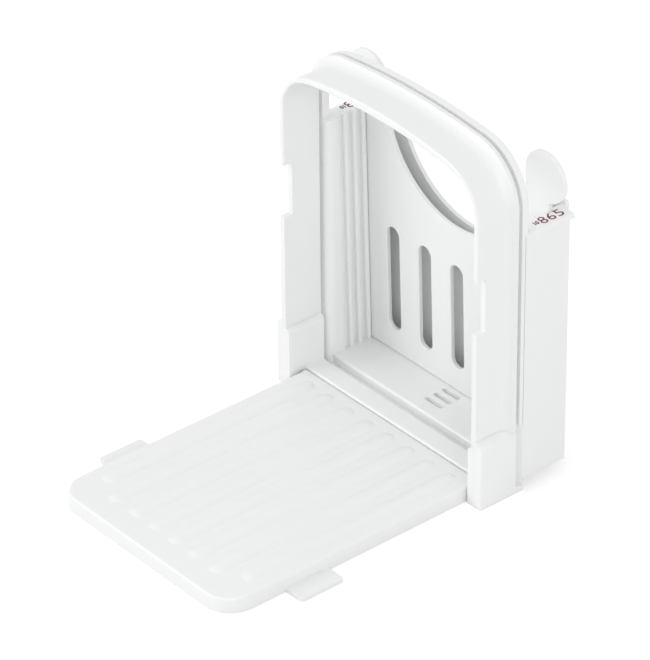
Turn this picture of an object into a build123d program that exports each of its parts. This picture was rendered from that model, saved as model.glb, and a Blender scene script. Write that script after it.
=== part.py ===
"""Folding bread slicing guide: two crowned arch frames with a knife gap between them,
grooved columns, a lift-out stop plate and a fold-down loaf rest.

Frame: X across the guide, +Y towards the stop plate, +Z up. The origin is on the ground,
in the plane of symmetry and in the plane of the knife, so a slice thickness is a distance
along +Y. Lengths are in millimetres."""
from build123d import *
from math import atan, cos, degrees, radians, sin, sqrt, tan
import os

os.makedirs("parts", exist_ok=True)

# ---------------------------------------------------------------- driving dimensions
base_half = 75.0             # half the width across the side blocks
knife_gap = 2.0              # gap between the two frames that the blade runs in
slices = (11.5, 17.1, 22.7, 28.3)    # knife to stop plate: 10, 8, 6 and 5 slices a loaf
plate_thickness = 2.4
plate_place = slices[-1]     # the plate is stored in the groove for 5 slices
lean = radians(1.5)          # the grooves and the plate lean forward at the top
lean_height = 32.0           # height at which the slice thicknesses are true

# arch outlines: half width, height, crown radius and corner radius
hood_outer = (71.0, 185.8, 290.0, 27.0)
hood_inner = (68.0, 181.6, 335.0, 20.0)
flange_outer = (74.5, 188.8, 400.0, 30.0)
frame_depth = 22.5           # front frame, front to back
lip_thickness = 2.0          # front knife flange
cove_reach = 6.0             # hollow curve from the hood out to its flange, front to back
cove_rise = 4.2
rear_flange_thickness = 2.1  # beside the columns
rear_flange_top = 4.4        # above the columns
rear_flange_round = 1.5
front_rim_round = 0.9
frame_back = -knife_gap / 2
frame_front = frame_back - frame_depth
rear_front = knife_gap / 2

# side blocks of the base, with sockets for the legs of the front frame
block_inner = 65.7
block_shoulder = 37.0        # height where the block meets the hood's outer face
block_edge = 34.0            # height of the block's outer top edge
seat_height = 33.0           # the hood's legs stand here
crease_height = 31.3
block_round = 1.0
tenon_foot = 12.0
tenon_inset = 3.0            # front and back of a leg, set back inside its socket
socket_play = 0.1

# floor
sill_front = -13.0
sill_height = 7.5
channel_floor = 3.0
channel_back = 4.0
floor_height = 7.8
floor_thickness = 2.5
floor_half = 64.5
floor_back = 38.2
edge_round = 1.2

# columns
column_inner = 63.8          # crests of the ridges
column_outer = 74.3
column_front_outer = 3.7
column_back = 31.0
column_web_back = 34.7       # behind the last groove the column is this deep
flange_gap_floor = 73.3      # floor of the narrow gap between rear flange and column
column_foot = 6.0
column_top = 142.0
column_skin = 2.3
column_front_round = 4.0     # inner front corner of a column
column_top_round = 1.6
groove_depth = 2.4
groove_width = 2.9
groove_wall = 68.0           # back of the grooved wall, where the hollow of the column starts
crest_round = 1.1
top_thickness = 2.5
top_lip_back = 34.0          # the column tops run back as a short lip

# back panel
panel_thickness = 2.2
panel_front = floor_back - panel_thickness
panel_half = 65.8
panel_top = 143.3
panel_round = 1.2
window_radius = 52.0
window_height = 151.5

# stop plate
plate_half = 65.8
plate_foot = floor_height + 0.2
cutout_radius = 49.5
ear_radius = 13.5
ear_across = 63.0
ear_height = 159.8
neck_round = 2.0
slot_pitch = 23.3
slot_count = 5
slot_width = 9.0
slot_low = 21.0
slot_high = 80.5
slot_chamfer = 0.3
tab_width = 11.0
tab_depth = 2.3
tab_inset = 0.15
tab_slot_length = 12.4
tab_slot_width = 2.8
tab_slot_depth = 2.6

# loaf rest
rest_half = 63.7
rest_flare = 0.8             # the rim spreads by this much from its top to the ground
rest_front = -169.3
rest_height = 7.5
rest_skin = 2.4
rest_corner = 15.5
rim_round = 1.1
hinge_y = -15.7
hinge_z = 5.0
barrel_radius = 2.5
stiffener_width = 1.8
stiffener_depth = 3.0
rib_places = (7.3, 22.1, 37.5, 52.0)
rib_width = 9.0
rib_height = 0.9
rib_back = -20.0
rib_fronts = (-157.0, -157.0, -157.0, -149.5)
rest_tab_reach = 75.9
rest_tab_front = -134.5
rest_tab_back = -108.9
rest_tab_low = 0.4
rest_tab_high = 2.0
rest_tab_round = 1.5
notch_low = 96.5
notch_high = 125.5
notch_depth = 5.2

# pins and screws
pin_radius = 1.5
pin_inner_end = 57.0
pin_outer_end = 71.0
screw_across = 69.0
screw_places = (10.0, 24.0)
screw_radius = 1.3
screw_head_radius = 2.1
screw_head_height = 1.0
screw_top = 20.0
wing_low = 5.0


def across(y):
    """Plane across the guide at y, seen from the front: sketch x is X and sketch y is Z."""
    return Plane(origin=(0, y, 0), x_dir=(1, 0, 0), z_dir=(0, -1, 0))


def leaning(y):
    """Plane that leans as the stop plate does and stands at y at the lean's own height.
    Sketch x is X, and sketch y runs up the lean from the ground."""
    return Plane(origin=(0, y + lean_height * tan(lean), 0), x_dir=(1, 0, 0),
                 z_dir=(0, -cos(lean), -sin(lean)))


def arch(outline, foot, mode=Mode.ADD):
    """Arch with a crowned top and round corners, down to the foot, in the open sketch."""
    half, top, crown, corner = outline
    spring = top - (crown - sqrt(crown**2 - half**2))
    with BuildLine() as edge:
        ThreePointArc((-half, spring), (0, top), (half, spring))
        Polyline((half, spring), (half, foot), (-half, foot), (-half, spring))
        fillet(edge.vertices().group_by(Axis.Y)[-1], corner)
    make_face(edge.edges(), mode=mode)


def block_solid(x_low, x_high, y_low, y_high, z_low, z_high, mode=Mode.ADD):
    """Plain block between two corners, in the open part."""
    with Locations(((x_low + x_high) / 2, (y_low + y_high) / 2, (z_low + z_high) / 2)):
        Box(x_high - x_low, y_high - y_low, z_high - z_low, mode=mode)


def both_sides(x_low, x_high, y_low, y_high, z_low, z_high, mode=Mode.ADD):
    """The same block at +X and, mirrored, at -X."""
    block_solid(x_low, x_high, y_low, y_high, z_low, z_high, mode)
    block_solid(-x_high, -x_low, y_low, y_high, z_low, z_high, mode)


# ---------------------------------------------------------------- front frame
# An arched hood whose back edge turns out into the knife flange. Its legs end in tenons.
hood_half = hood_outer[0]
hood_inside = hood_inner[0]
past = 1.0                   # how far a cutting shape runs past what it cuts
lip_front = frame_back - lip_thickness

with BuildSketch(across(lip_front)) as hood_outline:
    arch(hood_outer, tenon_foot)
hood_path = Wire(hood_outline.sketch.edges().filter_by(lambda e: e.center().Z > tenon_foot + 0.01))

with BuildPart() as cove:
    with BuildSketch(Plane.XY.offset(tenon_foot)):
        with BuildLine():
            hollow = TangentArc((hood_half, lip_front - cove_reach),
                                (hood_half + cove_rise, lip_front), tangent=(0, 1))
            Polyline(hollow @ 1, (hood_half - past, lip_front),
                     (hood_half - past, lip_front - cove_reach), hollow @ 0)
        make_face()
    sweep(path=hood_path)
    with BuildSketch(across(lip_front)):
        arch(flange_outer, tenon_foot)
    extrude(amount=cove_reach, mode=Mode.INTERSECT)

with BuildPart() as front_frame:
    with BuildSketch(across(frame_front)):
        arch(hood_outer, tenon_foot)
        arch(hood_inner, tenon_foot - past, Mode.SUBTRACT)
    extrude(amount=-frame_depth)
    with BuildSketch(across(frame_back)):
        arch(flange_outer, tenon_foot)
        arch(hood_inner, tenon_foot - past, Mode.SUBTRACT)
    extrude(amount=lip_thickness)
    add(cove.part)
    # the legs stop on the blocks, apart from the tenons inside them
    with BuildSketch(across(frame_front)):
        for side in (1, -1):
            with BuildLine():
                Polyline(
                    (side * hood_half, block_shoulder),
                    (side * base_half, block_edge),
                    (side * (base_half + past), block_edge),
                    (side * (base_half + past), tenon_foot - past),
                    (side * hood_half, tenon_foot - past),
                    close=True,
                )
            make_face()
    extrude(amount=-frame_depth, mode=Mode.SUBTRACT)
    for y_low, y_high in ((frame_front - past, frame_front + tenon_inset),
                          (frame_back - tenon_inset, frame_back + past)):
        both_sides(hood_inside - past, hood_half + past, y_low, y_high,
                   tenon_foot - past, seat_height, Mode.SUBTRACT)
    # notches that the loaf rest's tabs enter when it is folded up
    both_sides(hood_inside - past, hood_half + past, frame_front - past,
               frame_front + notch_depth, notch_low, notch_high, Mode.SUBTRACT)
    rim = front_frame.edges().filter_by_position(Axis.Y, frame_front - 0.01, frame_front + 0.01)
    fillet([e for e in rim if e.bounding_box().max.Z > notch_high + past], front_rim_round)

front_frame.part.label = "front_frame"
export_step(front_frame.part, "parts/front_frame.step")

# ---------------------------------------------------------------- base
# Side blocks, sill, channel floor and rear floor in one moulding, cored out from below.
with BuildPart() as base:
    with BuildSketch(across(frame_front)):
        for side in (1, -1):
            with BuildLine():
                Polyline(
                    (side * block_inner, 0),
                    (side * base_half, 0),
                    (side * base_half, block_edge),
                    (side * hood_half, block_shoulder),
                    (side * hood_half, seat_height),
                    (side * hood_inside, seat_height),
                    (side * block_inner, crease_height),
                    close=True,
                )
            make_face()
    extrude(amount=-frame_depth)
    outer_corners = base.edges().filter_by(Axis.Z).group_by(Axis.Y)[0]
    fillet([e for e in outer_corners if abs(e.center().X) > hood_half + past], block_round)
    both_sides(hood_inside - socket_play, hood_half + socket_play,
               frame_front + tenon_inset - socket_play, frame_back - tenon_inset + socket_play,
               tenon_foot, block_shoulder, Mode.SUBTRACT)
    # sill and channel floor, drawn from the side
    with BuildSketch(Plane.YZ):
        with BuildLine() as sill_line:
            Polyline((sill_front, 0), (sill_front, sill_height), (frame_back, sill_height),
                     (frame_back, channel_floor), (channel_back + past, channel_floor),
                     (channel_back + past, 0), close=True)
            fillet(sill_line.vertices().group_by(Axis.Y)[-1], edge_round)
        make_face()
    extrude(amount=block_inner + past, both=True)
    # rear floor, with a round front edge
    with BuildSketch(Plane.YZ):
        with BuildLine() as floor_line:
            Polyline((channel_back, 0), (channel_back, floor_height),
                     (floor_back, floor_height), (floor_back, 0), close=True)
            fillet(floor_line.vertices().group_by(Axis.Y)[-1].sort_by(Axis.X)[0], edge_round)
        make_face()
    extrude(amount=floor_half, both=True)
    # wings that reach into the hollow columns, and rails that close the knife gap below
    both_sides(floor_half - past, column_outer - column_skin - socket_play,
               channel_back + 0.2, column_back - column_skin - 0.2, wing_low, floor_height)
    both_sides(floor_half - past, groove_wall, column_back - column_skin - past,
               column_web_back, wing_low, floor_height)
    both_sides(floor_half - past, panel_half, column_web_back - past, floor_back,
               wing_low, floor_height)
    both_sides(floor_half - past, base_half, frame_back, column_front_outer, 0, channel_floor)
    # cores from below: under the sill, under the rear floor and under the blocks
    rib = 2.0
    cell = (2 * floor_half - 5 * rib) / 4
    cell_middle = (floor_back + channel_back) / 2
    with BuildSketch():
        with Locations((0, (sill_front + frame_back) / 2)):
            with GridLocations(cell + rib, 1, 4, 1):
                Rectangle(cell, frame_back - sill_front - 2 * floor_thickness)
        with Locations((0, cell_middle)):
            with GridLocations(cell + rib, 1, 4, 1):
                Rectangle(cell, floor_back - channel_back - 2 * floor_thickness)
    extrude(amount=floor_height - floor_thickness, mode=Mode.SUBTRACT)
    with BuildSketch():
        with Locations((0, cell_middle)):
            Rectangle(tab_slot_length + 2 * rib, floor_back - channel_back - 2 * floor_thickness)
    extrude(amount=floor_height)
    both_sides(hood_inside, base_half - floor_thickness, sill_front + 1.5,
               frame_back - tenon_inset, 0, tenon_foot - floor_thickness, Mode.SUBTRACT)
    # blind slots for the foot of the stop plate, one for each slice thickness
    foot_shift = (lean_height - floor_height) * tan(lean) + plate_thickness / 2
    with BuildSketch(Plane.XY.offset(floor_height)):
        for slice_thickness in slices:
            with Locations((0, slice_thickness + foot_shift)):
                SlotOverall(tab_slot_length, tab_slot_width)
    extrude(amount=-tab_slot_depth, mode=Mode.SUBTRACT)
    # blind bores for the hinge pins
    for side in (1, -1):
        with BuildSketch(Plane(origin=(side * block_inner, hinge_y, hinge_z),
                               x_dir=(0, 1, 0), z_dir=(side, 0, 0))):
            Circle(pin_radius + 0.05)
        extrude(amount=pin_outer_end - block_inner + 0.3, mode=Mode.SUBTRACT)
    # countersunk screw holes in the wings
    for side in (1, -1):
        for y in screw_places:
            with BuildSketch(Plane.XZ.offset(-y)):
                with BuildLine():
                    Polyline((side * screw_across, wing_low - past),
                             (side * (screw_across + screw_head_radius + 0.05), wing_low - past),
                             (side * (screw_across + screw_head_radius + 0.05), wing_low),
                             (side * (screw_across + screw_radius + 0.05),
                              wing_low + screw_head_height),
                             (side * (screw_across + screw_radius + 0.05), floor_height + past),
                             (side * screw_across, floor_height + past), close=True)
                make_face()
            revolve(axis=Axis((side * screw_across, y, 0), (0, 0, 1)), mode=Mode.SUBTRACT)

base.part.label = "base"
export_step(base.part, "parts/base.step")

# ---------------------------------------------------------------- rear frame
# Rear knife flange, two hollow columns with grooved inner walls, and the back panel.
# The flange is thick and round at the back above the columns, and a thin lip beside them.
with BuildPart() as rear_flange:
    with BuildSketch(across(rear_front)):
        arch(flange_outer, column_top)
        arch(hood_inner, column_top - past, Mode.SUBTRACT)
    extrude(amount=-rear_flange_top)
    back_edges = rear_flange.edges().group_by(Axis.Y)[-1].filter_by(
        lambda e: e.center().Z > column_top + past
        and (abs(e.center().X) > hood_half or e.bounding_box().max.Z > hood_inner[1] + past))
    fillet(back_edges, rear_flange_round)
    with BuildSketch(across(rear_front)):
        arch(flange_outer, block_shoulder + past)
        arch(hood_inner, block_shoulder, Mode.SUBTRACT)
    extrude(amount=-rear_flange_thickness)

with BuildPart() as rear_frame:
    with BuildSketch(Plane.XY.offset(channel_floor)):
        for side in (1, -1):
            with BuildLine() as plan:
                Polyline((side * column_inner, rear_front), (side * hood_half, rear_front),
                         (side * column_outer, column_front_outer),
                         (side * column_outer, column_back),
                         (side * groove_wall, column_back),
                         (side * groove_wall, column_web_back),
                         (side * panel_half, column_web_back), (side * panel_half, floor_back),
                         (side * column_inner, floor_back), close=True)
                inner_front = plan.vertices().sort_by_distance((side * column_inner, rear_front))[0]
                fillet(inner_front, column_front_round)
            make_face()
    extrude(amount=column_top - channel_floor)
    # the column tops run back as a short lip, with a round outer edge
    both_sides(groove_wall, column_outer, column_back - past, top_lip_back,
               column_top - top_thickness, column_top)
    top_edges = [e for e in rear_frame.edges().filter_by(Axis.Y)
                 if abs(e.center().Z - column_top) < 0.01
                 and abs(abs(e.center().X) - column_outer) < 0.01]
    fillet(top_edges, column_top_round)
    add(rear_flange.part)
    both_sides(flange_gap_floor, column_outer + past, rear_front + rear_flange_thickness,
               column_front_outer, block_shoulder + past, column_top, Mode.SUBTRACT)
    # grooves for the stop plate, with round crests between them
    groove_play = (groove_width - plate_thickness) / 2
    for slice_thickness in slices:
        with BuildSketch(leaning(slice_thickness - groove_play)):
            with Locations((column_inner, column_top / 2), (-column_inner, column_top / 2)):
                Rectangle(2 * groove_depth, 2 * column_top)
        extrude(amount=-groove_width, mode=Mode.SUBTRACT)
    crests = [e for e in rear_frame.edges().filter_by(GeomType.LINE)
              if e.length > column_top / 2 and slices[0] / 2 < e.center().Y < column_back
              and abs(abs(e.center().X) - column_inner) < 0.01]
    fillet(crests, crest_round)
    # hollow columns, open below and set over the wings of the base
    hollow_back = column_back - column_skin
    both_sides(groove_wall, column_outer - column_skin, column_front_outer, hollow_back,
               channel_floor - past, column_top - top_thickness, Mode.SUBTRACT)
    both_sides(column_inner - past, column_outer - column_skin, column_front_outer,
               floor_back + past, channel_floor - past, floor_height, Mode.SUBTRACT)
    both_sides(column_inner - past, column_outer + past, column_front_outer,
               floor_back + past, channel_floor - past, column_foot, Mode.SUBTRACT)
    for y in screw_places:
        both_sides(groove_wall - 0.5, column_outer - column_skin + 0.5, y - 3.0, y + 3.0,
                   floor_height, screw_top + 4.0)
    # back panel with a round window, behind the stop plate
    with BuildSketch(across(panel_front)) as panel:
        with Locations((0, (floor_height + panel_top) / 2)):
            Rectangle(2 * panel_half, panel_top - floor_height)
        fillet(panel.vertices().group_by(Axis.Y)[-1], panel_round)
        with Locations((0, window_height)):
            Circle(window_radius, mode=Mode.SUBTRACT)
    extrude(amount=-panel_thickness)
    for side in (1, -1):
        for y in screw_places:
            with BuildSketch(Plane.XY.offset(floor_height)):
                with Locations((side * screw_across, y)):
                    Circle(screw_radius + 0.03)
            extrude(amount=screw_top + 1.0 - floor_height, mode=Mode.SUBTRACT)

rear_frame.part.label = "rear_frame"
export_step(rear_frame.part, "parts/rear_frame.step")

# ---------------------------------------------------------------- stop plate
# Slotted plate with a round cut-out, two finger ears and a foot that enters the floor.
with BuildPart() as stop_plate:
    with BuildSketch(leaning(plate_place)) as outline:
        with Locations((0, (plate_foot + ear_height) / 2)):
            Rectangle(2 * plate_half, ear_height - plate_foot)
        with Locations((-ear_across, ear_height), (ear_across, ear_height)):
            Circle(ear_radius)
        necks = [v for v in outline.vertices()
                 if abs(abs(v.X) - plate_half) < 0.01 and v.Y > column_top]
        fillet(necks, neck_round)
        with Locations((0, window_height)):
            Circle(cutout_radius, mode=Mode.SUBTRACT)
        with Locations((0, window_height + ear_radius)):
            Rectangle(2 * cutout_radius, 2 * ear_radius, mode=Mode.SUBTRACT)
        with Locations((0, (slot_low + slot_high) / 2)):
            with GridLocations(slot_pitch, 1, slot_count, 1):
                SlotOverall(slot_high - slot_low, slot_width, rotation=90, mode=Mode.SUBTRACT)
    extrude(amount=-plate_thickness)
    faces_front_back = stop_plate.faces().sort_by(SortBy.AREA)[-2:]
    chamfer(faces_front_back.edges(), slot_chamfer)
    with BuildSketch(leaning(plate_place + tab_inset)):
        with Locations((0, plate_foot + (past - tab_depth) / 2)):
            Rectangle(tab_width, tab_depth + past)
    extrude(amount=-(plate_thickness - 2 * tab_inset))

stop_plate.part.label = "stop_plate"
export_step(stop_plate.part, "parts/stop_plate.step")

# ---------------------------------------------------------------- loaf rest
# Shallow tray moulded upside down: ribbed skin, turned-down rim, hinge barrel, side tabs.
with BuildPart() as loaf_rest:
    rim_slope = degrees(atan(rest_flare / rest_height))
    for skin, mode in ((0, Mode.ADD), (rest_skin, Mode.SUBTRACT)):
        half = rest_half + rest_flare - skin
        front = rest_front - rest_flare + skin
        back = hinge_y + rest_flare
        with BuildSketch() as rest_plan:
            with Locations((0, (front + back) / 2)):
                Rectangle(2 * half, back - front)
            fillet(rest_plan.vertices().group_by(Axis.Y)[0], rest_corner - skin)
        extrude(amount=rest_height - skin, taper=rim_slope, mode=mode)
    block_solid(-2 * rest_half, 2 * rest_half, hinge_y, hinge_y + rest_skin,
                -past, rest_height + past, Mode.SUBTRACT)
    top_edges = loaf_rest.faces().sort_by(Axis.Z)[-1].edges()
    fillet([e for e in top_edges if e.center().Y < hinge_y - past], rim_round)
    with BuildSketch(Plane.YZ):
        with Locations((hinge_y, hinge_z)):
            Circle(barrel_radius)
    extrude(amount=rest_half, both=True)
    # stiffeners below the skin
    with BuildSketch(Plane.XY.offset(rest_height - rest_skin)):
        with Locations((0, (rest_front + hinge_y) / 2)):
            with GridLocations(2 * rest_half / 3, 1, 2, 1):
                Rectangle(stiffener_width, hinge_y - rest_front - 2 * rest_skin)
            with GridLocations(1, (hinge_y - rest_front) / 3, 1, 2):
                Rectangle(2 * rest_half - rest_skin, stiffener_width)
    extrude(amount=-stiffener_depth)
    # raised ridges that the loaf slides on: low arcs in section, with domed ends
    for side in (1, -1):
        for place, front in zip(rib_places, rib_fronts):
            middle = side * place
            end_front, end_back = front + rib_width / 2, rib_back - rib_width / 2
            with BuildSketch(across(end_front)):
                with BuildLine():
                    crown = ThreePointArc((middle - rib_width / 2, rest_height),
                                          (middle, rest_height + rib_height),
                                          (middle + rib_width / 2, rest_height))
                    Polyline(crown @ 1, (middle + rib_width / 2, rest_height - past),
                             (middle - rib_width / 2, rest_height - past), crown @ 0)
                make_face()
            extrude(amount=end_front - end_back)
            for end, up in ((end_front, -1), (end_back, 1)):
                with BuildSketch(across(end)):
                    with BuildLine():
                        half_crown = ThreePointArc(crown @ 0.5, crown @ 0.75, crown @ 1)
                        Polyline(half_crown @ 1, (middle + rib_width / 2, rest_height - past),
                                 (middle, rest_height - past), half_crown @ 0)
                    make_face()
                revolve(axis=Axis((middle, end, 0), (0, 0, up)), revolution_arc=180)
    # tabs that click into the notches of the front frame
    both_sides(rest_half - rest_skin / 2, rest_tab_reach, rest_tab_front, rest_tab_back,
               rest_tab_low, rest_tab_high)
    tab_corners = [e for e in loaf_rest.edges().filter_by(Axis.Z)
                   if abs(abs(e.center().X) - rest_tab_reach) < 0.01]
    fillet(tab_corners, rest_tab_round)
    # bores for the hinge pins
    for side in (1, -1):
        with BuildSketch(Plane(origin=(side * pin_inner_end, hinge_y, hinge_z),
                               x_dir=(0, 1, 0), z_dir=(side, 0, 0))):
            Circle(pin_radius + 0.02)
        extrude(amount=rest_half + rest_flare - pin_inner_end, mode=Mode.SUBTRACT)

loaf_rest.part.label = "loaf_rest"
export_step(loaf_rest.part, "parts/loaf_rest.step")

# ---------------------------------------------------------------- hinge pins
# Short steel pins, held in the loaf rest and turning in the side blocks.
for pin_name, side in (("right_hinge_pin", 1), ("left_hinge_pin", -1)):
    with BuildPart() as hinge_pin:
        with BuildSketch(Plane(origin=(side * pin_inner_end, hinge_y, hinge_z),
                               x_dir=(0, 1, 0), z_dir=(side, 0, 0))):
            Circle(pin_radius)
        extrude(amount=pin_outer_end - pin_inner_end)
    hinge_pin.part.label = pin_name
    export_step(hinge_pin.part, f"parts/{pin_name}.step")

# ---------------------------------------------------------------- base screws
# Countersunk screws, driven from below through the wings into the columns.
with BuildPart() as base_screws:
    for side in (1, -1):
        for y in screw_places:
            with BuildSketch(Plane.XZ.offset(-y)):
                with BuildLine():
                    Polyline((side * screw_across, wing_low),
                             (side * (screw_across + screw_head_radius), wing_low),
                             (side * (screw_across + screw_radius), wing_low + screw_head_height),
                             (side * (screw_across + screw_radius), screw_top - screw_radius),
                             (side * screw_across, screw_top), close=True)
                make_face()
            revolve(axis=Axis((side * screw_across, y, 0), (0, 0, 1)))

base_screws.part.label = "base_screws"
export_step(base_screws.part, "parts/base_screws.step")
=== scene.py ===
"""Folding bread slicing guide in white moulded plastic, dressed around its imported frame."""
import bpy
from math import radians, sin, cos
from mathutils import Matrix, Vector


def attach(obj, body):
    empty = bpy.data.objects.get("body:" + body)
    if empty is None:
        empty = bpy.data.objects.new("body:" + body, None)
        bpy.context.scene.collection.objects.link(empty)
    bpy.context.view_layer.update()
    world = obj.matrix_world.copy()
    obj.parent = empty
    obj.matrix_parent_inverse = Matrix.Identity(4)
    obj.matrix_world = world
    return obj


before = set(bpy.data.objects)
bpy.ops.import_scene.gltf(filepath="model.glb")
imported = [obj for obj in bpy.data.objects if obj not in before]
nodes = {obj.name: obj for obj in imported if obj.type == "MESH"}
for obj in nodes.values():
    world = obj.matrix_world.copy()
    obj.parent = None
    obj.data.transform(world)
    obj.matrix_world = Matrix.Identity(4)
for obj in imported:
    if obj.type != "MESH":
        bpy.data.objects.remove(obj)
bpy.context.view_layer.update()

# --- Base ---------------------------------------------------------------------
# Side blocks, sill and floor in one injection moulding of white ABS. It comes out of a
# polished tool, so it is satin bright, with a faint unevenness from the melt.
ABS_IOR = 1.53
ABS_GLOW = 0.12
ABS_GLOW_DEPTH = 0.004
ABS_GLOW_SPREAD = (1.0, 0.95, 0.9)
# The base, columns and plate share a trace whiter copy of the white than the hood and rest,
# though it is the same plastic: painted light, set to match how bright these pieces look.
ABS_LIGHT = (0.913, 0.926, 0.917)
ABS_SHADE = (0.903, 0.916, 0.907)
MELT_SCALE = 14
CLOUD_SCALE = 60
CLOUD_BELOW = 0.03
CLOUD_ABOVE = 0.05
PEEL_SCALE = 900
PEEL_STRENGTH = 0.03
PEEL_DEPTH = 0.0002
BASE_ROUGHNESS = 0.30


def moulded_plastic(name, light, shade, roughness):
    """White moulded plastic: slow colour drift, cloudy gloss and a very fine orange peel."""
    material = bpy.data.materials.new(name)
    material.use_nodes = True
    tree = material.node_tree
    shader = tree.nodes["Principled BSDF"]
    shader.inputs["IOR"].default_value = ABS_IOR
    shader.inputs["Subsurface Weight"].default_value = ABS_GLOW
    shader.inputs["Subsurface Scale"].default_value = ABS_GLOW_DEPTH
    shader.inputs["Subsurface Radius"].default_value = ABS_GLOW_SPREAD
    place = tree.nodes.new("ShaderNodeTexCoord")

    def noise(scale, detail):
        """A noise that is fixed to the piece."""
        node = tree.nodes.new("ShaderNodeTexNoise")
        node.inputs["Scale"].default_value = scale
        node.inputs["Detail"].default_value = detail
        tree.links.new(place.outputs["Object"], node.inputs["Vector"])
        return node.outputs["Fac"]

    drift = tree.nodes.new("ShaderNodeValToRGB")
    drift.color_ramp.elements[0].position = 0.2
    drift.color_ramp.elements[0].color = (*shade, 1)
    drift.color_ramp.elements[1].position = 0.8
    drift.color_ramp.elements[1].color = (*light, 1)
    tree.links.new(noise(MELT_SCALE, 0), drift.inputs["Fac"])
    tree.links.new(drift.outputs["Color"], shader.inputs["Base Color"])

    gloss = tree.nodes.new("ShaderNodeMapRange")
    gloss.inputs["To Min"].default_value = roughness - CLOUD_BELOW
    gloss.inputs["To Max"].default_value = roughness + CLOUD_ABOVE
    tree.links.new(noise(CLOUD_SCALE, 1), gloss.inputs["Value"])
    tree.links.new(gloss.outputs["Result"], shader.inputs["Roughness"])

    peel = tree.nodes.new("ShaderNodeBump")
    peel.inputs["Strength"].default_value = PEEL_STRENGTH
    peel.inputs["Distance"].default_value = PEEL_DEPTH
    tree.links.new(noise(PEEL_SCALE, 3), peel.inputs["Height"])
    tree.links.new(peel.outputs["Normal"], shader.inputs["Normal"])
    return material


def paint(node, material):
    """Gives the node its finish."""
    piece = nodes[node]
    piece.data.materials.clear()
    piece.data.materials.append(material)


paint("base", moulded_plastic("base_white_abs", ABS_LIGHT, ABS_SHADE, BASE_ROUGHNESS))

# --- Front frame --------------------------------------------------------------
# The crowned arch hood, a single ABS shell with the knife flange turned out along its back
# edge. Its legs are pushed into sockets in the side blocks. Its white is a trace greyer than
# that of the base, columns and plate, though it is the same plastic: the difference is
# painted light and shade, set per piece to match how bright each piece looks.
HOOD_PAINTED_SHADE_LIGHT = (0.888, 0.902, 0.895)
HOOD_PAINTED_SHADE_DARK = (0.878, 0.892, 0.885)
HOOD_ROUGHNESS = 0.32
paint("front_frame",
      moulded_plastic("front_frame_white_abs_painted_shade", HOOD_PAINTED_SHADE_LIGHT, HOOD_PAINTED_SHADE_DARK, HOOD_ROUGHNESS))

# --- Rear frame ---------------------------------------------------------------
# Rear knife flange, two hollow columns with ridged inner walls and the back panel, moulded
# in one and set over the wings of the base.
COLUMN_ROUGHNESS = 0.34
paint("rear_frame",
      moulded_plastic("rear_frame_white_abs", ABS_LIGHT, ABS_SHADE, COLUMN_ROUGHNESS))

# --- Printed numbers ----------------------------------------------------------
# The number of slices a loaf, pad printed in dark red beside each groove on the flat tops
# of the columns. The film of ink is about a twentieth of a millimetre thick.
MM = 0.001
INK_FILM = 0.05 * MM
INK_DARK = (0.11, 0.004, 0.022)
INK_RED = (0.22, 0.008, 0.045)
INK_ROUGHNESS = 0.45
INK_SPECKLE_SCALE = 700
COLUMN_TOP = 142.0 * MM
DIGIT_HEIGHT = 5.6 * MM
DIGIT_WIDTH = 3.9 * MM
TEN_HEIGHT = 0.48 * DIGIT_HEIGHT
TEN_WIDTH = 0.7 * DIGIT_WIDTH
TEN_BOLDNESS = 0.04
NUMBERS = ((10, 14.6), (8, 18.7), (6, 23.7), (5, 28.7))
COLUMNS = ((1, "right", 69.0, 0), (-1, "left", 70.5, 1.2))

ink = bpy.data.materials.new("dark_red_ink")
ink.use_nodes = True
ink_tree = ink.node_tree
ink_shader = ink_tree.nodes["Principled BSDF"]
ink_shader.inputs["Roughness"].default_value = INK_ROUGHNESS
ink_noise = ink_tree.nodes.new("ShaderNodeTexNoise")
ink_noise.inputs["Scale"].default_value = INK_SPECKLE_SCALE
ink_ramp = ink_tree.nodes.new("ShaderNodeValToRGB")
ink_ramp.color_ramp.elements[0].color = (*INK_DARK, 1)
ink_ramp.color_ramp.elements[1].color = (*INK_RED, 1)
ink_tree.links.new(ink_noise.outputs["Fac"], ink_ramp.inputs["Fac"])
ink_tree.links.new(ink_ramp.outputs["Color"], ink_shader.inputs["Base Color"])

for side, column, from_middle, further_back in COLUMNS:
    for number, from_knife in NUMBERS:
        is_ten = number == 10
        text = bpy.data.curves.new("number", "FONT")
        text.body = str(number)
        text.align_x = "CENTER"
        text.align_y = "CENTER"
        text.size = 1
        text.extrude = 0.02
        text.offset = TEN_BOLDNESS if is_ten else 0
        shown = bpy.data.objects.new("number", text)
        bpy.context.scene.collection.objects.link(shown)
        bpy.context.view_layer.update()
        mesh = bpy.data.meshes.new_from_object(shown)
        bpy.data.objects.remove(shown)
        # the flat glyph is fitted to its print size and laid on the column, feet outwards
        low = Vector([min(v.co[i] for v in mesh.vertices) for i in range(3)])
        high = Vector([max(v.co[i] for v in mesh.vertices) for i in range(3)])
        wide = TEN_WIDTH if is_ten else DIGIT_WIDTH
        tall = TEN_HEIGHT if is_ten else DIGIT_HEIGHT
        for v in mesh.vertices:
            along = (v.co.x - (low.x + high.x) / 2) / (high.x - low.x) * wide
            above = (v.co.y - (low.y + high.y) / 2) / (high.y - low.y) * tall
            film = (v.co.z - low.z) / (high.z - low.z) * INK_FILM
            v.co = (side * (from_middle * MM - above),
                    (from_knife + further_back) * MM + side * along,
                    COLUMN_TOP + film)
        printed = bpy.data.objects.new(f"number_{column}_{number}", mesh)
        mesh.materials.clear()
        mesh.materials.append(ink)
        bpy.context.scene.collection.objects.link(printed)
        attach(printed, "frame")

# --- Stop plate ---------------------------------------------------------------
# A loose ABS plate with five long slots and a round cut-out. The round ears are what the
# fingers hold to lift it into another groove.
PLATE_ROUGHNESS = 0.34
paint("stop_plate",
      moulded_plastic("stop_plate_white_abs", ABS_LIGHT, ABS_SHADE, PLATE_ROUGHNESS))

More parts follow.
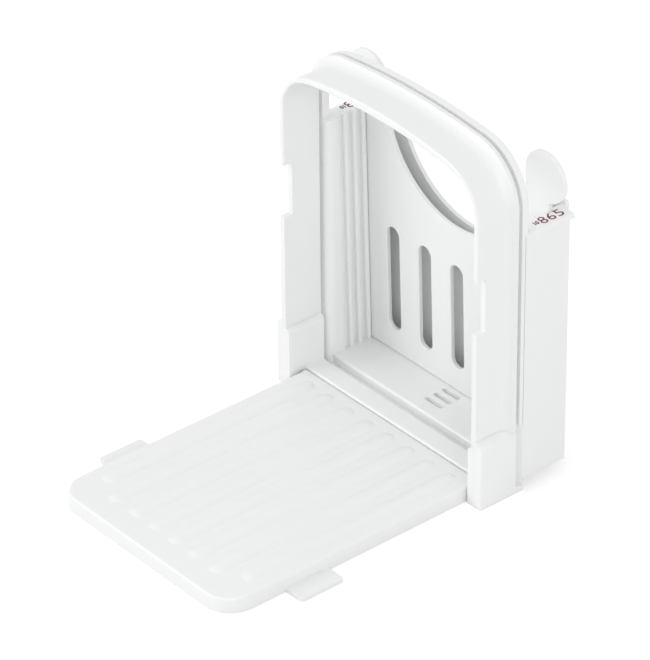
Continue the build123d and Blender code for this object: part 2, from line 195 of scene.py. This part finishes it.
# --- Loaf rest ----------------------------------------------------------------
# The fold-down tray that carries the loaf, ribbed so that the crust slides. It hangs on two
# pins between the side blocks, and its side tabs click into the front frame when folded.
REST_ROUGHNESS = 0.30
# The rest takes the hood's greyer copy of the white: the same painted shade.
paint("loaf_rest",
      moulded_plastic("loaf_rest_white_abs_painted_shade", HOOD_PAINTED_SHADE_LIGHT, HOOD_PAINTED_SHADE_DARK, REST_ROUGHNESS))

# --- Hinge pins and screws ------------------------------------------------------
# Drawn steel pins and countersunk steel screws, bright with fine turning marks along them.
# A file has been run round their edges.
STEEL_DARK = (0.42, 0.42, 0.41)
STEEL_BRIGHT = (0.66, 0.66, 0.65)
STEEL_SMOOTHEST = 0.22
STEEL_ROUGHEST = 0.40
MARK_SCALE = 220
MARK_STRETCH = (1, 20, 20)
BROKEN_EDGE = 0.05 * MM
SAME_POINT = 0.01 * MM

steel = bpy.data.materials.new("drawn_steel")
steel.use_nodes = True
steel_tree = steel.node_tree
steel_shader = steel_tree.nodes["Principled BSDF"]
steel_shader.inputs["Metallic"].default_value = 1.0
steel_place = steel_tree.nodes.new("ShaderNodeTexCoord")
steel_stretch = steel_tree.nodes.new("ShaderNodeMapping")
steel_stretch.inputs["Scale"].default_value = MARK_STRETCH
steel_noise = steel_tree.nodes.new("ShaderNodeTexNoise")
steel_noise.inputs["Scale"].default_value = MARK_SCALE
steel_tree.links.new(steel_place.outputs["Object"], steel_stretch.inputs["Vector"])
steel_tree.links.new(steel_stretch.outputs["Vector"], steel_noise.inputs["Vector"])
steel_ramp = steel_tree.nodes.new("ShaderNodeValToRGB")
steel_ramp.color_ramp.elements[0].color = (*STEEL_DARK, 1)
steel_ramp.color_ramp.elements[1].color = (*STEEL_BRIGHT, 1)
steel_tree.links.new(steel_noise.outputs["Fac"], steel_ramp.inputs["Fac"])
steel_tree.links.new(steel_ramp.outputs["Color"], steel_shader.inputs["Base Color"])
steel_rough = steel_tree.nodes.new("ShaderNodeMapRange")
steel_rough.inputs["To Min"].default_value = STEEL_SMOOTHEST
steel_rough.inputs["To Max"].default_value = STEEL_ROUGHEST
steel_tree.links.new(steel_noise.outputs["Fac"], steel_rough.inputs["Value"])
steel_tree.links.new(steel_rough.outputs["Result"], steel_shader.inputs["Roughness"])

for name in ("left_hinge_pin", "right_hinge_pin", "base_screws"):
    paint(name, steel)
    piece = nodes[name]
    weld = piece.modifiers.new("weld", "WELD")
    weld.merge_threshold = SAME_POINT
    edge = piece.modifiers.new("edges", "BEVEL")
    edge.width = BROKEN_EDGE
    edge.segments = 3
    edge.limit_method = "ANGLE"
    edge.angle_limit = radians(40)
    edge.harden_normals = True
    edge.use_clamp_overlap = True
    piece.data.shade_smooth()

# --- Studio floor -----------------------------------------------------------------
# A plain white sweep that keeps the soft shadow of the guide. It is shown brighter than it
# lights the guide, so that the background is white and the plastic isn't washed out.
FLOOR_REACH = 3.0
FLOOR_DROP = 0.1 * MM
FLOOR_WHITE = (0.80, 0.80, 0.80, 1)
FLOOR_LIFT = 0.36

floor_mesh = bpy.data.meshes.new("studio_floor")
floor_corners = [(-FLOOR_REACH, -FLOOR_REACH, 0), (FLOOR_REACH, -FLOOR_REACH, 0),
                 (FLOOR_REACH, FLOOR_REACH, 0), (-FLOOR_REACH, FLOOR_REACH, 0)]
floor_mesh.from_pydata(floor_corners, [], [(0, 1, 2, 3)])
floor = bpy.data.objects.new("studio_floor", floor_mesh)
floor.location.z = -FLOOR_DROP
bpy.context.scene.collection.objects.link(floor)


def seen_directly(tree):
    """One for the rays that show the studio: straight, in a gloss and through a clear piece."""
    path = tree.nodes.new("ShaderNodeLightPath")
    total = path.outputs["Is Camera Ray"]
    for ray in ("Is Glossy Ray", "Is Transmission Ray"):
        both = tree.nodes.new("ShaderNodeMath")
        both.operation = "MAXIMUM"
        tree.links.new(total, both.inputs[0])
        tree.links.new(path.outputs[ray], both.inputs[1])
        total = both.outputs["Value"]
    return total


floor_paint = bpy.data.materials.new("studio_white")
floor_paint.use_nodes = True
floor_tree = floor_paint.node_tree
floor_tree.nodes.clear()
floor_out = floor_tree.nodes.new("ShaderNodeOutputMaterial")
floor_matt = floor_tree.nodes.new("ShaderNodeBsdfDiffuse")
floor_matt.inputs["Color"].default_value = FLOOR_WHITE
floor_glow = floor_tree.nodes.new("ShaderNodeEmission")
floor_glow.inputs["Strength"].default_value = FLOOR_LIFT
floor_shown = floor_tree.nodes.new("ShaderNodeAddShader")
floor_choice = floor_tree.nodes.new("ShaderNodeMixShader")
floor_tree.links.new(floor_matt.outputs[0], floor_shown.inputs[0])
floor_tree.links.new(floor_glow.outputs[0], floor_shown.inputs[1])
floor_tree.links.new(seen_directly(floor_tree), floor_choice.inputs[0])
floor_tree.links.new(floor_matt.outputs[0], floor_choice.inputs[1])
floor_tree.links.new(floor_shown.outputs[0], floor_choice.inputs[2])
floor_tree.links.new(floor_choice.outputs[0], floor_out.inputs["Surface"])
floor_mesh.materials.append(floor_paint)

# --- Studio sky and lamps -----------------------------------------------------------
# An even white sky, a little dimmer low at the right front, where the corners that face
# that way need their shade. A soft box from the left front and a weaker one from the right.
SKY_LEVEL = 0.76
SKY_DIM_LEVEL = 0.52
SKY_DIM_WAY = (0.74, -0.66, 0.1)
SKY_DIM_STARTS = 0.6
SKY_DIM_FULL = 0.9
LAMP_AIM = (0, -0.03, 0.08)

world = bpy.data.worlds.new("studio")
bpy.context.scene.world = world
world.use_nodes = True
sky = world.node_tree
sky.nodes["Background"].inputs["Color"].default_value = (1, 1, 1, 1)
sky_place = sky.nodes.new("ShaderNodeTexCoord")
sky_front = sky.nodes.new("ShaderNodeVectorMath")
sky_front.operation = "DOT_PRODUCT"
sky_front.inputs[1].default_value = SKY_DIM_WAY
sky_level = sky.nodes.new("ShaderNodeMapRange")
sky_level.inputs["From Min"].default_value = SKY_DIM_STARTS
sky_level.inputs["From Max"].default_value = SKY_DIM_FULL
sky_level.inputs["To Min"].default_value = SKY_LEVEL
sky_level.inputs["To Max"].default_value = SKY_DIM_LEVEL
sky_seen = sky.nodes.new("ShaderNodeMath")
sky_seen.operation = "MAXIMUM"
sky.links.new(sky_place.outputs["Generated"], sky_front.inputs[0])
sky.links.new(sky_front.outputs["Value"], sky_level.inputs["Value"])
sky.links.new(sky_level.outputs["Result"], sky_seen.inputs[0])
sky.links.new(seen_directly(sky), sky_seen.inputs[1])
sky.links.new(sky_seen.outputs["Value"], sky.nodes["Background"].inputs["Strength"])


def soft_box(name, place, size, power):
    """A square area lamp at a place, turned to the guide."""
    lamp = bpy.data.lights.new(name, "AREA")
    lamp.size = size
    lamp.energy = power
    held = bpy.data.objects.new(name, lamp)
    held.location = place
    held.rotation_euler = (Vector(LAMP_AIM) - Vector(place)).to_track_quat("-Z", "Y").to_euler()
    bpy.context.scene.collection.objects.link(held)


soft_box("key", place=(-1.0, -1.6, 0.95), size=1.2, power=12.0)
soft_box("right_fill", place=(1.4, -0.7, 0.85), size=1.0, power=7.6)

# --- Camera ---------------------------------------------------------------------
# A long lens, from the right front and above, so that the inside of the arch, the rest's
# ribs and the numbers are all in view.
CAMERA_PLACE = (1.46673, -1.28535, 1.31924)
AZIMUTH = radians(50.02)
ELEVATION = radians(32.94)
ROLL = radians(-0.49)
FOCAL_LENGTH = 268.4
SENSOR_WIDTH = 36

across_view = Vector((cos(AZIMUTH), sin(AZIMUTH), 0))
into_view = Vector((-sin(AZIMUTH) * cos(ELEVATION),
                    cos(AZIMUTH) * cos(ELEVATION),
                    -sin(ELEVATION)))
up_view = across_view.cross(into_view)
rolled_right = across_view * cos(ROLL) + up_view * sin(ROLL)
rolled_up = up_view * cos(ROLL) - across_view * sin(ROLL)
camera_data = bpy.data.cameras.new("camera")
camera_data.sensor_fit = "HORIZONTAL"
camera_data.sensor_width = SENSOR_WIDTH
camera_data.lens = FOCAL_LENGTH
camera = bpy.data.objects.new("camera", camera_data)
turn = Matrix((rolled_right, rolled_up, -into_view)).transposed().to_4x4()
camera.matrix_world = Matrix.Translation(CAMERA_PLACE) @ turn
bpy.context.scene.collection.objects.link(camera)
bpy.context.scene.camera = camera
bpy.context.scene.view_settings.view_transform = "Standard"

bpy.context.view_layer.update()
